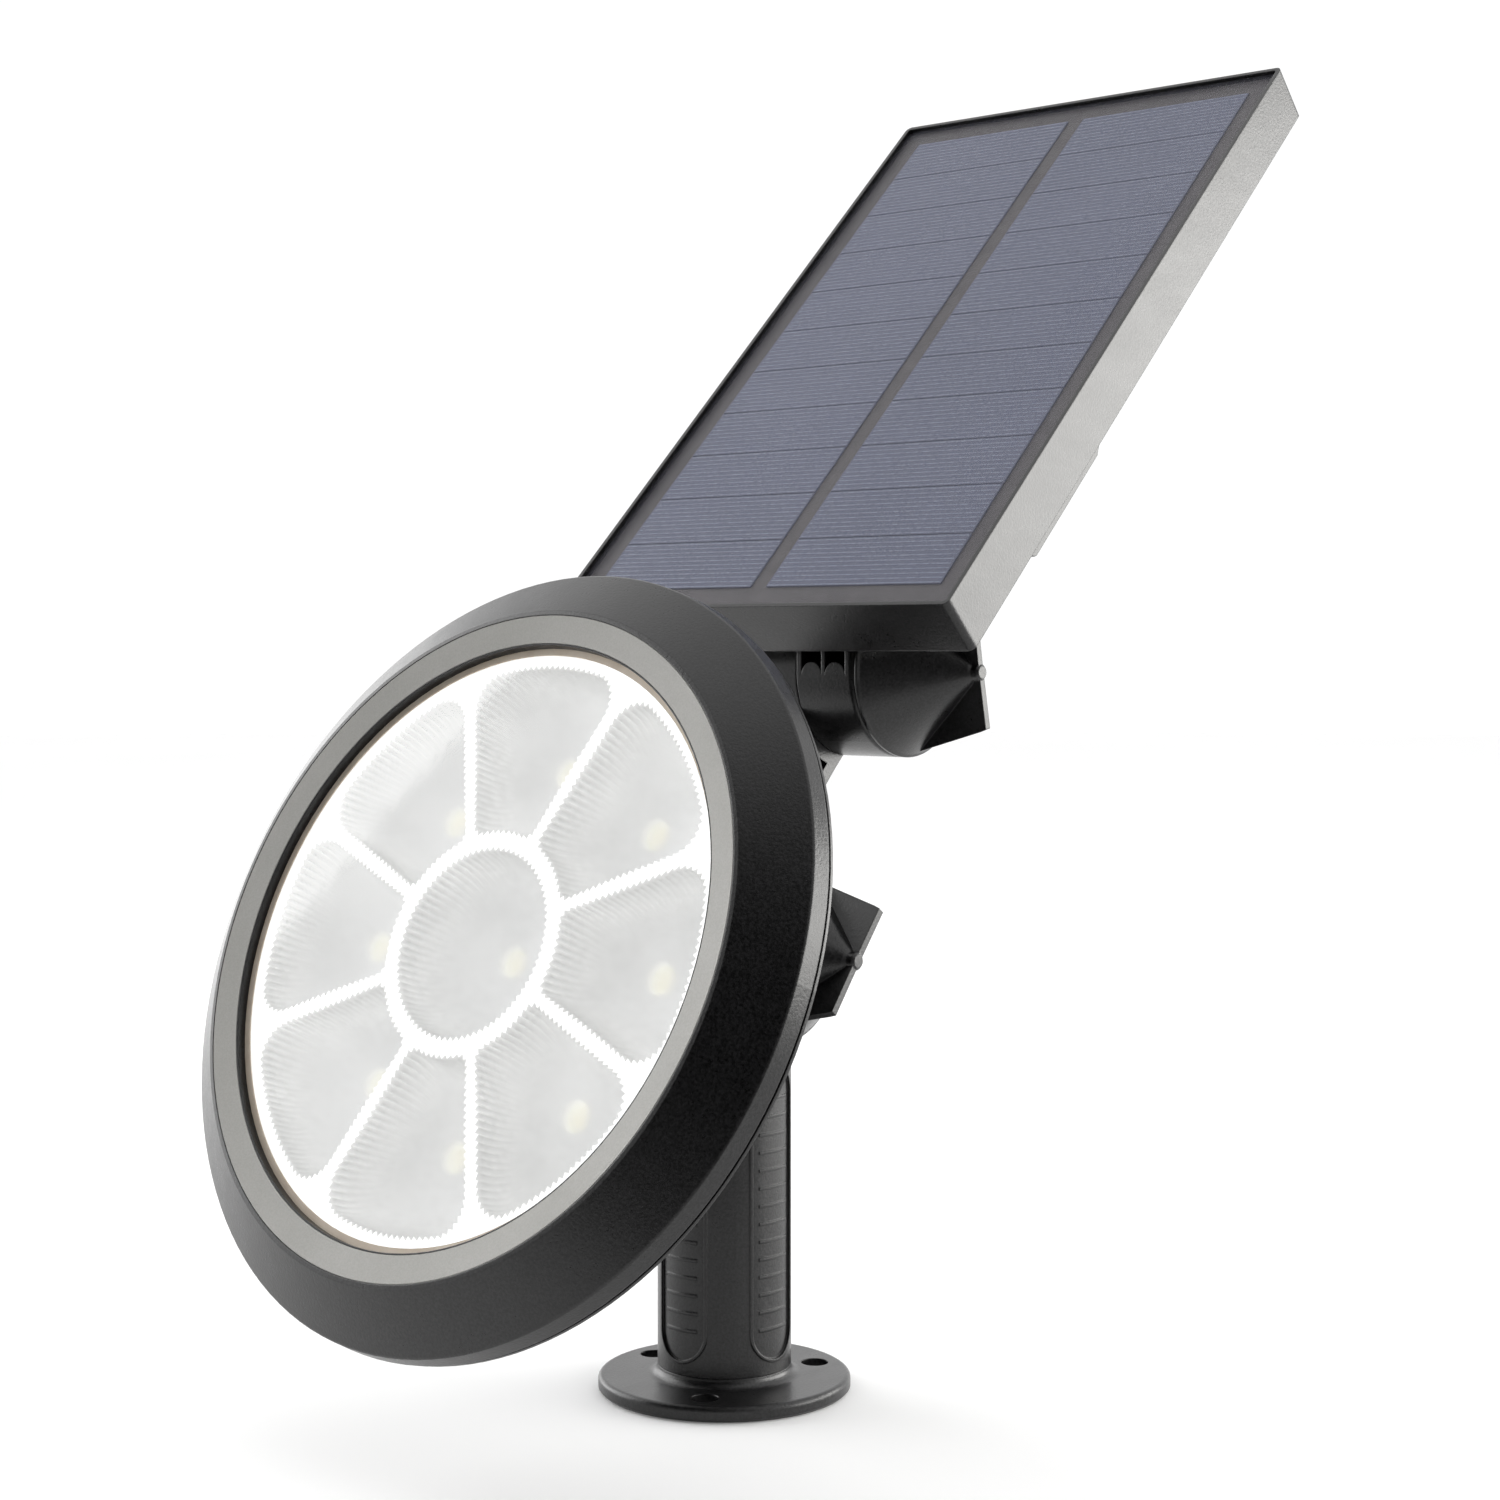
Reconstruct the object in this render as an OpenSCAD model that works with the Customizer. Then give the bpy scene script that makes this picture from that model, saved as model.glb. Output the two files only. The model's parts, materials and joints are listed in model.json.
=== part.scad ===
// Solar garden light: round lamp head and tilting solar panel on a screw-down post.
// Origin: centre of the flange's underside. +Z up, +X along the hinge bolts towards the
// clamp knobs, the lamp faces -Y.

/* [Flange and post] */
// Radius of the round foot flange
flange_r = 25.5; // [22:0.1:30]
// Thickness of the foot flange
flange_t = 3.1; // [2.5:0.1:5]
// Pitch circle diameter of the flange screws
screw_pcd = 39; // [36:0.5:42]
// Radius of each flange screw hole
screw_hole_r = 2.8; // [2:0.1:3.2]
// Outer radius of the post
post_r = 13.5; // [13:0.1:14]
// Height of the top of the post
post_h = 69; // [66:0.5:69]

/* [Bracket arm] */
// Height of the lower hinge axis
hinge_z = 89; // [88:0.5:95]
// Distance between the two hinge axes
arm_len = 68.4; // [64:0.1:74]
// Lean of the arm back from vertical
arm_lean = 36.1; // [30:0.1:42]
// Outer radius of the hinge barrels
barrel_r = 17.8; // [17:0.1:18.5]
// Length of each half of a hinge barrel
barrel_half = 15; // [14.5:0.1:16]

/* [Lamp head] */
// Upward tilt of the lamp's face
head_tilt = 23; // [15:0.5:28]
// Distance from the lower hinge forward to the trim ring
head_reach = 69.5; // [67:0.5:75]
// Height of the lower hinge above the lamp's centre line
head_rise = 20.6; // [16:0.1:24]
// Largest radius of the lamp head
head_r = 74.5; // [74:0.5:77]
// Inner radius of the light trim ring
ring_in_r = 57.2; // [57:0.1:57.6]
// Outer radius of the light trim ring
ring_out_r = 62.9; // [62.5:0.1:63.5]
// Number of outer light cells
cells_n = 8; // [6:1:10]

/* [Solar panel] */
// Panel width
panel_w = 104.5; // [102:0.5:108]
// Panel length
panel_l = 173.2; // [172:0.1:176]
// Panel thickness
panel_t = 12.4; // [12:0.1:14]
// Panel tilt from horizontal
panel_tilt = 44.2; // [30:0.1:50]
// Distance of the upper hinge along the panel from its lower edge
hinge_l = 16.7; // [16:0.1:20]
// Distance of the upper hinge below the panel's top rim
hinge_drop = 34.7; // [34.5:0.1:38]
// Rows of solar cells
cell_rows = 11; // [9:1:11]

/* [Battery cover] */
// Width of the battery cover
cover_w = 75.5; // [73:0.5:78]
// Distance of the cover's outer face below the panel's top rim
cover_drop = 27.5; // [27:0.1:29]
// Where the cover starts, from the panel's lower edge
cover_l0 = 42.5; // [42:0.1:44]
// Where the cover starts to slope
cover_l1 = 75; // [73.5:0.1:76]
// Where the cover ends
cover_l2 = 98; // [93:0.1:98]

/* [Knobs] */
// Turn of the upper knob's wings
upper_knob_turn = 47; // [0:1:180]
// Turn of the lower knob's wings
lower_knob_turn = -38; // [-180:1:180]
// Length of a knob
knob_len = 19.2; // [18:0.1:20]

/* [Hidden] */
$fn = 96;
eps = 0.01;            // overshoot of a cut
gap = 0.15;            // half the gap between the two halves of a hinge
bolt_r = 3;            // hinge bolt shank
pivot_r = 3.08;        // bore of a part that turns on a bolt
nut_af = 10;           // bolt head and knob nut, across flats
disc_r = 12;           // friction disc
disc_t = 1;
washer_r = 9;
washer_t = 1;
washer_x = barrel_half + 0.1;
hub_x = washer_x + washer_t + 0.1;
knob_x = barrel_half + 0.3;
charcoal = [0.13, 0.13, 0.14];
black = [0.07, 0.07, 0.08];
steel = [0.72, 0.72, 0.74];

// ---- frames -------------------------------------------------------------------------
// Lamp frame: +Z out of the lamp's face, +Y up across the face, Z 0 at the trim ring.
module in_head()
    translate([0, 0, hinge_z]) rotate([90 - head_tilt, 0, 0])
        translate([0, -head_rise, head_reach]) children();

// Arm frame: +Z from the lower hinge to the upper one.
module in_arm() translate([0, 0, hinge_z]) rotate([-arm_lean, 0, 0]) children();

// Panel frame: +Y up along the panel from its lower edge, Z 0 at the top rim.
module in_panel()
    in_arm() translate([0, 0, arm_len]) rotate([panel_tilt + arm_lean, 0, 0])
        translate([0, -hinge_l, hinge_drop]) children();

// Hinge frames: +Z along the bolt towards the knob.
module at_lower_hinge() translate([0, 0, hinge_z]) rotate([0, 90, 0]) children();
module at_upper_hinge() in_arm() translate([0, 0, arm_len]) rotate([0, 90, 0]) children();

// ---- shared shapes ------------------------------------------------------------------
module hexagon(af, h) cylinder(r = af / sqrt(3), h = h, $fn = 6);

module tube(r_out, r_in, h) difference() {
    cylinder(r = r_out, h = h);
    translate([0, 0, -1]) cylinder(r = r_in, h = h + 2);
}

// Plate w by l with round corners, its lower edge's middle at the origin.
module plate(w, l, h, r) translate([0, 0, -h]) linear_extrude(h) {
    translate([-w / 2 + r, 0]) square([w - 2 * r, l]);
    translate([-w / 2, r]) square([w, l - 2 * r]);
    for (x = [-w / 2 + r, w / 2 - r], y = [r, l - r]) translate([x, y]) circle(r);
}

// Frame of even width, as a seal: the plate less a smaller one.
module seal(w, l, h, r, band) difference() {
    plate(w, l, h, r);
    translate([0, band, 1]) plate(w - 2 * band, l - 2 * band, h + 2, r);
}

// Pan-head screw: head below z 0, shank of radius r up to z len.
module screw(r, len, head_r, head_t) difference() {
    union() {
        rotate_extrude() polygon([[0, -head_t], [head_r * 0.6, -head_t],
            [head_r * 0.9, -head_t * 0.7], [head_r, -head_t * 0.3], [head_r, 0], [0, 0]]);
        cylinder(r = r, h = len);
    }
    for (a = [0, 90]) rotate(a)
        translate([-head_r * 0.55, -0.3, -head_t - eps]) cube([head_r * 1.1, 0.6, head_t * 0.5]);
}

// Half of a hinge barrel with a rounded outer rim, from z 0 to z barrel_half - gap.
module barrel(len) {
    c = 1.2;
    rotate_extrude() polygon(concat([[0, 0], [barrel_r, 0]],
        [for (a = [0:15:90]) [barrel_r - c + c * cos(a), len - c + c * sin(a)]], [[0, len]]));
}

// ---- post ---------------------------------------------------------------------------
socket_r = 10.5;       // round socket for a ground spike
socket_d = 45;
spigot_r = 11.3;       // spigot of the arm inside the post
spigot_l = 19;
pad_w = 12.4;          // grip pads around the post
pad_z0 = 7.5;
pad_z1 = post_h - 2.1;
rib_pitch = 3.54;
rib_n = 14;
rib_z0 = 14.2;
rib_w = 8;
rib_t = 0.6;
pad_sink = 0.25;
outline_w = 0.6;       // width of the fine line around each pad
tenon_r = 12.2;        // lower end of the post inside the flange
fillet = 2;            // blend from the flange up to the post
collar_z = flange_t + fillet;
screw_z = 60;          // screws that hold the arm in the post
post_screw_turns = [135, 225];

// Upright slot shape with round ends, spread along Y at a radius beyond the post.
module slot_prism(w) rotate([90, 0, 90]) linear_extrude(post_r + 2) {
    translate([-w / 2, pad_z0 + pad_w / 2]) square([w, pad_z1 - pad_z0 - pad_w]);
    for (z = [pad_z0 + pad_w / 2, pad_z1 - pad_w / 2]) translate([0, z]) circle(d = w);
}

module grip_ribs() intersection() {
    translate([0, 0, -1]) cylinder(r = post_r - 0.05, h = post_h);
    for (i = [0:rib_n - 1])
        translate([0, -rib_w / 2, rib_z0 + i * rib_pitch - rib_t / 2]) cube([post_r + 2, rib_w, rib_t]);
}

// Sunk pad with cross ribs left standing in it.
module grip_recess() difference() {
    intersection() {
        slot_prism(pad_w - 2 * outline_w);
        translate([0, 0, flange_t]) tube(post_r + 1, post_r - pad_sink, post_h);
    }
    grip_ribs();
}

// Fine raised line around a pad.
module grip_outline() intersection() {
    difference() {
        slot_prism(pad_w);
        translate([-1, 0, 0]) slot_prism(pad_w - 2 * outline_w);
    }
    translate([0, 0, flange_t]) tube(post_r + 0.3, post_r - 1, post_h);
}

module base_flange() color(charcoal) difference() {
    rotate_extrude() polygon(concat(
        [[tenon_r + 0.03, 0], [flange_r - 0.6, 0], [flange_r, 0.6], [flange_r, flange_t - 1]],
        [for (a = [0:22.5:90]) [flange_r - 1 + cos(a), flange_t - 1 + sin(a)]],
        [for (a = [-90:-15:-180]) [post_r + fillet + fillet * cos(a), flange_t + fillet + fillet * sin(a)]],
        [[tenon_r + 0.03, collar_z]]));
    for (a = [60, 180, 300]) rotate(a)
        translate([screw_pcd / 2, 0, -1]) cylinder(r = screw_hole_r, h = flange_t + 3);
}

module post() color(charcoal) difference() {
    union() {
        rotate_extrude() polygon([[0, 0.02], [tenon_r, 0.02], [tenon_r, collar_z + 0.02],
            [post_r, collar_z + 0.02], [post_r, post_h - 0.6], [post_r - 0.6, post_h], [0, post_h]]);
        for (a = [0:90:270]) rotate(a) grip_outline();
    }
    for (a = [0:90:270]) rotate(a) grip_recess();
    translate([0, 0, -1]) cylinder(r = socket_r, h = socket_d + 1);
    translate([0, 0, post_h - spigot_l - 1]) cylinder(r = spigot_r + 0.05, h = spigot_l + 2);
    for (a = post_screw_turns) rotate(a) translate([0, 0, screw_z]) rotate([0, 90, 0]) {
        cylinder(r = 1.6, h = post_r + 2);
        translate([0, 0, post_r - 1.2]) cylinder(r = 3, h = 3);
    }
}

module post_screws() color(steel) for (a = post_screw_turns)
    rotate(a) translate([post_r - 1.18, 0, screw_z]) rotate([0, -90, 0]) screw(1.5, 6, 2.8, 1.8);

// ---- bracket arm --------------------------------------------------------------------
arm_x0 = -barrel_half + 1.5;
arm_half_w = 10;
waist = 2.8;           // how far each edge of the arm draws in at its middle
waist_span = 25;
waist_r = (waist_span * waist_span + waist * waist) / (2 * waist);
border = 2.8;          // raised edge around the arm's recesses
collar_top = 76;

// Outline of the arm seen along X, narrowed by m all round. Local X is along the arm.
module arm_outline(m) difference() {
    translate([0, -arm_half_w + m]) square([arm_len, 2 * (arm_half_w - m)]);
    for (s = [-1, 1]) translate([arm_len / 2, s * (arm_half_w - waist - m + waist_r)])
        circle(r = waist_r, $fn = 180);
}

module arm_slab(m, x0, x1) in_arm() translate([x0, 0, 0]) rotate([0, -90, 180])
    linear_extrude(x1 - x0) arm_outline(m);

module arm_recess(x0, x1) difference() {
    arm_slab(border, x0, x1);
    at_lower_hinge() translate([0, 0, -40]) cylinder(r = barrel_r + border, h = 80);
    at_upper_hinge() translate([0, 0, -40]) cylinder(r = barrel_r + border, h = 80);
}

module hinge_bores() {
    translate([0, 0, -barrel_half - 1]) cylinder(r = bolt_r + 0.02, h = 2 * barrel_half);
    translate([0, 0, -barrel_half - 1]) rotate(30) hexagon(nut_af + 0.1, 5.6);
    translate([0, 0, -gap - disc_t + 0.1]) cylinder(r = disc_r + 0.1, h = 2);
}

module bracket_arm() color(charcoal) difference() {
    union() {
        at_lower_hinge() translate([0, 0, -gap]) mirror([0, 0, 1]) barrel(barrel_half - gap);
        at_upper_hinge() translate([0, 0, -gap]) mirror([0, 0, 1]) barrel(barrel_half - gap);
        arm_slab(0, arm_x0, -gap);
        difference() {
            translate([0, 0, post_h]) cylinder(r = post_r, h = hinge_z - post_h);
            translate([-gap, -20, collar_top]) cube([40, 40, 40]);
            translate([-gap, 0, hinge_z]) rotate([0, 90, 0]) cylinder(r = barrel_r + 0.4, h = 30);
        }
        translate([0, 0, post_h - spigot_l]) cylinder(r = spigot_r, h = spigot_l + 2);
    }
    arm_recess(-gap - 3.5, 1);
    arm_recess(arm_x0 - 1, arm_x0 + 3.5);
    at_lower_hinge() hinge_bores();
    at_upper_hinge() hinge_bores();
    for (a = post_screw_turns) rotate(a) translate([spigot_r - 7, 0, screw_z])
        rotate([0, 90, 0]) cylinder(r = 1.52, h = 20);
}

module hinge_bolt() color(steel) {
    translate([0, 0, -barrel_half + 0.5]) rotate(30) hexagon(nut_af, 4);
    translate([0, 0, -barrel_half + 4]) cylinder(r = bolt_r, h = barrel_half + 21);
}

module lower_bolt() at_lower_hinge() hinge_bolt();
module upper_bolt() at_upper_hinge() hinge_bolt();

module friction_disc() color([0.2, 0.2, 0.2])
    translate([0, 0, -gap - disc_t + 0.1]) tube(disc_r, bolt_r + 0.1, disc_t);

module lower_friction_disc() at_lower_hinge() friction_disc();
module upper_friction_disc() at_upper_hinge() friction_disc();

// ---- clamp knobs --------------------------------------------------------------------
knob_r = 17.2;         // bell radius at its rim
tip_r = 1.8;           // nub at the bell's tip
tip_len = 2.2;
hub_r = 7.4;
wing_t = 1.5;
wing_r = 11.8;         // reach of a wing's outer corner
bell_x = 1;            // depth of the knob's rim lip
nut_len = 8;

module knob() color(charcoal) translate([0, 0, knob_x]) difference() {
    union() {
        rotate_extrude() polygon([[0, 0], [barrel_r, 0], [barrel_r, 0.6], [knob_r, bell_x],
            [tip_r + 0.6, knob_len - tip_len], [tip_r, knob_len - tip_len + 0.5],
            [tip_r, knob_len - 0.5], [tip_r - 0.5, knob_len], [0, knob_len]]);
        for (s = [0, 180]) rotate(s) translate([0, wing_t / 2, 0]) rotate([90, 0, 0])
            linear_extrude(wing_t) polygon([[1, bell_x], [knob_r - 0.3, bell_x],
                [wing_r + 0.5, knob_len - 1.6], [wing_r, knob_len - 0.2], [1, knob_len - 0.3]]);
    }
    difference() {
        translate([0, 0, -eps]) cylinder(r1 = knob_r - 2, r2 = hub_r, h = 10);
        cylinder(r = hub_r, h = 12);
    }
    translate([0, 0, -eps]) cylinder(r = hub_r + 2, h = hub_x - knob_x + eps);
    cylinder(r = bolt_r + 0.4, h = 14);
    translate([0, 0, -eps]) hexagon(nut_af + 0.04, hub_x - knob_x + nut_len + 0.1);
}

module knob_nut() color([0.8, 0.65, 0.35]) translate([0, 0, hub_x]) difference() {
    hexagon(nut_af, nut_len);
    translate([0, 0, -1]) cylinder(r = bolt_r + 0.05, h = nut_len + 2);
}

module clamp_washer() color(steel)
    translate([0, 0, washer_x]) tube(washer_r, bolt_r + 0.06, washer_t);

module lower_washer() at_lower_hinge() clamp_washer();
module upper_washer() at_upper_hinge() clamp_washer();
module lower_knob() at_lower_hinge() rotate(lower_knob_turn) knob();
module upper_knob() at_upper_hinge() rotate(upper_knob_turn) knob();
module lower_knob_nut() at_lower_hinge() rotate(lower_knob_turn) knob_nut();
module upper_knob_nut() at_upper_hinge() rotate(upper_knob_turn) knob_nut();

// ---- lamp head ----------------------------------------------------------------------
wall = 2.2;            // housing wall
dish = 1;              // how far the trim ring's outer edge stands proud of its inner edge
edge_r = 74.1;         // crisp front edge of the bezel's side
edge_d = 6.4;
bezel_d = 10.1;        // depth of the bezel's rear edge
lip_d = 10.8;          // depth of the housing's front edge
bowl_d = 13.4;         // depth where the housing's bowl begins
back_d = 34;           // depth of the housing's back
flat_r = 38;           // radius of the housing's flat back
bowl_r = 66.5;
case_screw_r = 62.2;
case_boss_r = 3;
case_screw_n = 4;
case_turn = 45;
board_r = 50;
board_thick = 1.5;
board_d = 17.5;
standoff_n = 3;        // stand-offs for the LED board
standoff_at = 47;
standoff_turn = 180 / cells_n;
hub_in = 18.1;         // centre light cell
hub_out = 21.2;
cell_out = 54;
spoke_w = 2;
lens_r = 59;
lens_d = 2.2;
lens_t = 1.2;
seat_d = lens_d - 0.3; // underside of the bezel's lip, above the lens gasket
rib_d = lens_d + lens_t + 0.1;   // front of the reflector's ribs
bowl_floor_d = 15;     // floor of the reflector's cells
led_r = 37;            // where the outer cells' LEDs sit
spoke_turn = 180 / cells_n;

module case_screws() for (i = [0:case_screw_n - 1])
    rotate(case_turn + i * 360 / case_screw_n) translate([case_screw_r, 0, 0]) children();

module bowl(r, d, inset) rotate_extrude() polygon(concat(
    [[0, -lip_d + inset], [r, -lip_d + inset]],
    inset > 0 ? [] : [[r, -lip_d - 0.7], [r - 0.6, -lip_d - 1.2]],
    [for (a = [0:6:90]) [flat_r + (d - flat_r) * cos(a),
        -bowl_d - (back_d - bowl_d - inset * wall) * sin(a)]],
    [[0, -back_d + inset * wall]]));

module standoffs() for (i = [0:standoff_n - 1])
    rotate(standoff_turn + i * 360 / standoff_n) translate([standoff_at, 0, 0]) children();

// Foot of the hinge bracket on the housing's back, and its four screws.
foot_r = 18;
lug_w = barrel_half - gap;
lug_x = gap + lug_w / 2;
lug_screw_r = 14.6;
module lug_screws() for (a = [0:90:270])
    translate([lug_x, head_rise, 0]) rotate(a) translate([lug_screw_r, 0, 0]) children();

gland_x = 24;
gland_y = 6;

module rear_housing() color(charcoal) in_head() difference() {
    union() {
        difference() {
            bowl(head_r - 0.2, bowl_r, 0);
            bowl(bowl_r - wall, bowl_r - wall, 1);
        }
        intersection() {
            bowl(head_r - 0.2, bowl_r, 0);
            case_screws() translate([0, 0, -back_d]) cylinder(r = 3.8, h = back_d - lip_d - 0.2);
        }
        standoffs() translate([0, 0, -back_d + wall])
            cylinder(r = 3.4, h = back_d - wall - board_d - board_thick - 0.02);
        lug_screws() translate([0, 0, -back_d + 1]) cylinder(r = 3.2, h = 7);
    }
    case_screws() {
        translate([0, 0, -back_d - 1]) cylinder(r = 3, h = back_d + 1 - 17);
        translate([0, 0, -18]) cylinder(r = 1.6, h = 12);
    }
    standoffs() translate([0, 0, -board_d - 8]) cylinder(r = 1.27, h = 10);
    lug_screws() translate([0, 0, -back_d - 1]) cylinder(r = 1.52, h = 7.5);
    translate([-gland_x, -gland_y, -back_d - 1]) cylinder(r = 3.02, h = 5);
}

// Hinge bracket on the lamp's back: round foot, neck and half a hinge barrel.
neck_half = 11.5;
foot_top = -back_d - 0.02;
module head_bracket() color(charcoal) in_head() difference() {
    union() {
        translate([lug_x, head_rise, foot_top - foot_t]) cylinder(r = foot_r, h = foot_t);
        translate([gap, head_rise, -head_reach]) rotate([0, 90, 0]) barrel(lug_w);
        translate([gap, head_rise - neck_half, -head_reach])
            cube([lug_w, 2 * neck_half, head_reach + foot_top]);
    }
    translate([0, head_rise, -head_reach]) rotate([0, 90, 0])
        cylinder(r = pivot_r, h = 60, center = true);
    lug_screws() {
        translate([0, 0, foot_top - foot_t - 1]) cylinder(r = 1.6, h = 6);
        translate([0, 0, foot_top - foot_t - 10]) cylinder(r = 2.9, h = 11.4);
    }
}

module head_bracket_screws() color(steel) in_head() lug_screws()
    translate([0, 0, foot_top - foot_t + 1.37]) screw(1.45, 6, 2.7, 1.5);

module bezel() color(charcoal) in_head() difference() {
    union() {
        rotate_extrude() polygon([[ring_in_r, -seat_d], [ring_in_r, 0], [ring_in_r + 0.25, 0.05],
            [ring_in_r + 0.3, -1.1], [ring_out_r - 0.05, -0.2], [ring_out_r - 0.05, dish],
            [ring_out_r + 0.9, dish - 0.1], [edge_r - 0.25, -edge_d + 0.15],
            [edge_r, -edge_d - 0.15], [head_r, -bezel_d], [head_r - 2.2, -bezel_d],
            [head_r - 2.2, -8.8], [ring_out_r + 2.2, -3.4], [61.4, -3.2], [61.4, -7.4],
            [lens_r + 0.3, -7.4], [lens_r + 0.3, -seat_d]]);
        case_screws() translate([0, 0, -bezel_d]) cylinder(r = case_boss_r, h = bezel_d - 3.4);
    }
    case_screws() translate([0, 0, -bezel_d - 1]) cylinder(r = 1.47, h = 6);
}

module trim_ring() color([0.7, 0.71, 0.68]) in_head() rotate_extrude() polygon([
    [ring_in_r + 0.35, 0.1], [ring_out_r - 0.25, dish], [ring_out_r - 0.1, dish - 0.1],
    [ring_out_r - 0.1, -0.15], [ring_in_r + 0.35, -1.02]]);

module lens_gasket() color([0.8, 0.72, 0.6]) in_head()
    translate([0, 0, -lens_d + 0.02]) tube(lens_r, ring_in_r - 1.3, 0.26);

module lens() color([0.95, 0.97, 1, 0.4]) in_head()
    translate([0, 0, -lens_d - lens_t]) cylinder(r = lens_r, h = lens_t);

module led_spots() {
    children();
    for (i = [0:cells_n - 1]) rotate(i * 360 / cells_n) translate([0, led_r, 0]) children();
}

module reflector() color([0.95, 0.95, 0.95]) in_head() difference() {
    union() {
        translate([0, 0, -bowl_floor_d - 1.4])
            cylinder(r = cell_out + 2, h = bowl_floor_d + 1.4 - rib_d);
        translate([0, 0, -rib_d - 1.5]) cylinder(r = lens_r - 0.3, h = 1.5);
    }
    translate([0, 0, -bowl_floor_d]) cylinder(r = hub_in, h = 20);
    difference() {
        translate([0, 0, -bowl_floor_d]) tube(cell_out, hub_out, 20);
        for (i = [0:cells_n - 1]) rotate(90 + spoke_turn + i * 360 / cells_n)
            translate([0, -spoke_w / 2, -20]) cube([cell_out + 1, spoke_w, 30]);
    }
    translate([0, 0, -20]) led_spots() cylinder(r = 3, h = 6);
}

module led_board() color([0.85, 0.85, 0.82]) in_head() difference() {
    translate([0, 0, -board_d - board_thick]) cylinder(r = board_r, h = board_thick);
    standoffs() translate([0, 0, -board_d - 3]) cylinder(r = 1.6, h = 5);
}

module leds() color([0.95, 0.9, 0.6]) in_head()
    translate([0, 0, -board_d + 0.02]) led_spots() translate([-1.75, -1.75, 0]) cube([3.5, 3.5, 0.8]);

module board_screws() color(steel) in_head() standoffs()
    translate([0, 0, -board_d + 0.02]) mirror([0, 0, 1]) screw(1.25, 6, 2.2, 0.9);

module housing_gasket() color(black) in_head()
    translate([0, 0, -lip_d + 0.02]) tube(head_r - 0.7, head_r - 2, lip_d - bezel_d - 0.04);

module housing_screws() color(steel) in_head() case_screws()
    translate([0, 0, -17.05]) screw(1.45, 10.5, 2.8, 2);

module head_gland() color(black) in_head() translate([-gland_x, -gland_y, -back_d]) {
    translate([0, 0, -0.5]) cylinder(r = 3, h = 2.5);
    rotate_extrude() polygon([[0, -0.02], [5, -0.02], [5, -1.5], [3.6, -3], [3, -7.5], [0, -7.5]]);
}

// ---- solar panel --------------------------------------------------------------------
rim = 1;               // tray wall around the window
window_d = 0.8;        // depth of the clear window below the rim
window_t = 0.5;
cell_t = 0.3;
board_top = window_d + window_t + cell_t + 0.1;
board_t = 1.6;
ledge_d = board_top + board_t + 0.6;
ledge_w = 3.5;
floor_t = 1.8;
cell_x0 = 2.15;        // half the strip between the two columns
cell_x1 = 46;
cell_l0 = 7.1;
cell_pitch = 160 / cell_rows;
cell_gap = 0.6;
hatch_w = 55;          // opening in the tray's floor behind the battery cover
hatch_l0 = 44.8;
hatch_l1 = 91;
cover_wall = 1.8;
cover_screw_x = 31;
cover_screw_l = [48, 88];
foot_t = 3;            // foot plate of the panel bracket
foot_l0 = 3;
foot_l1 = 38;
foot_x0 = -13;
foot_x1 = 28;
foot_screw_x = [-9, 24];
foot_screw_l = [7, 34];
button_l = 68.5;
button_r = 3;

module foot_screws() for (x = foot_screw_x, l = foot_screw_l) translate([x, l, 0]) children();
module cover_screw_spots()
    for (x = [-cover_screw_x, cover_screw_x], l = cover_screw_l) translate([x, l, 0]) children();

module panel_tray() color(charcoal) in_panel() difference() {
    union() {
        difference() {
            plate(panel_w, panel_l, panel_t, 1.5);
            translate([0, rim, 1]) plate(panel_w - 2 * rim, panel_l - 2 * rim, 1 + ledge_d, 0.6);
            translate([0, rim + ledge_w, 0]) plate(panel_w - 2 * (rim + ledge_w),
                panel_l - 2 * (rim + ledge_w), panel_t - floor_t, 1);
        }
        foot_screws() translate([0, 0, -panel_t + 1]) cylinder(r = 3.4, h = panel_t - 1 - ledge_d - 0.4);
        cover_screw_spots() translate([0, 0, -panel_t + 1])
            cylinder(r = 3.2, h = panel_t - 1 - ledge_d - 0.4);
    }
    translate([0, hatch_l0, -floor_t]) plate(hatch_w, hatch_l1 - hatch_l0, panel_t, 2);
    foot_screws() translate([0, 0, -panel_t - 1]) cylinder(r = 1.47, h = 5.5);
    cover_screw_spots() translate([0, 0, -panel_t - 1]) cylinder(r = 1.27, h = 5.5);
}

module panel_window() color([0.6, 0.65, 0.8, 0.35]) in_panel()
    translate([0, rim + 0.15, -window_d])
        plate(panel_w - 2 * rim - 0.3, panel_l - 2 * rim - 0.3, window_t, 0.5);

module solar_cells() color([0.22, 0.25, 0.38]) in_panel()
    for (i = [0:cell_rows - 1], s = [0, 1]) mirror([s, 0, 0])
        translate([cell_x0, cell_l0 + i * cell_pitch + cell_gap / 2, -board_top + 0.02])
            cube([cell_x1 - cell_x0, cell_pitch - cell_gap, cell_t]);

module cell_board() color([0.33, 0.3, 0.3]) in_panel() translate([0, rim + 0.15, -board_top])
    plate(panel_w - 2 * rim - 0.3, panel_l - 2 * rim - 0.3, board_t, 0.5);

module panel_seal() color(black) in_panel()
    translate([0, rim + 0.4, -board_top - board_t - 0.02])
        seal(panel_w - 2 * rim - 0.8, panel_l - 2 * rim - 0.8, 0.56, 0.6, 2.4);

// ---- panel bracket ------------------------------------------------------------------
rib_gap = 5.3;         // pockets between the bracket's ribs
pocket_x = [1.35, 7.55];
pocket_deep = 9;
dome_z = -0.5;         // middle of the round floor of each pocket, from the hinge axis
dome_r = 2.6;
block_back = 15;       // back of the block behind the hinge axis
block_top = hinge_drop - panel_t - 1;

// Upper hinge with +Y back and +Z up, as the bracket stands at rest.
module level_upper_hinge() in_arm() translate([0, 0, arm_len]) rotate([arm_lean, 0, 0]) children();

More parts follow.
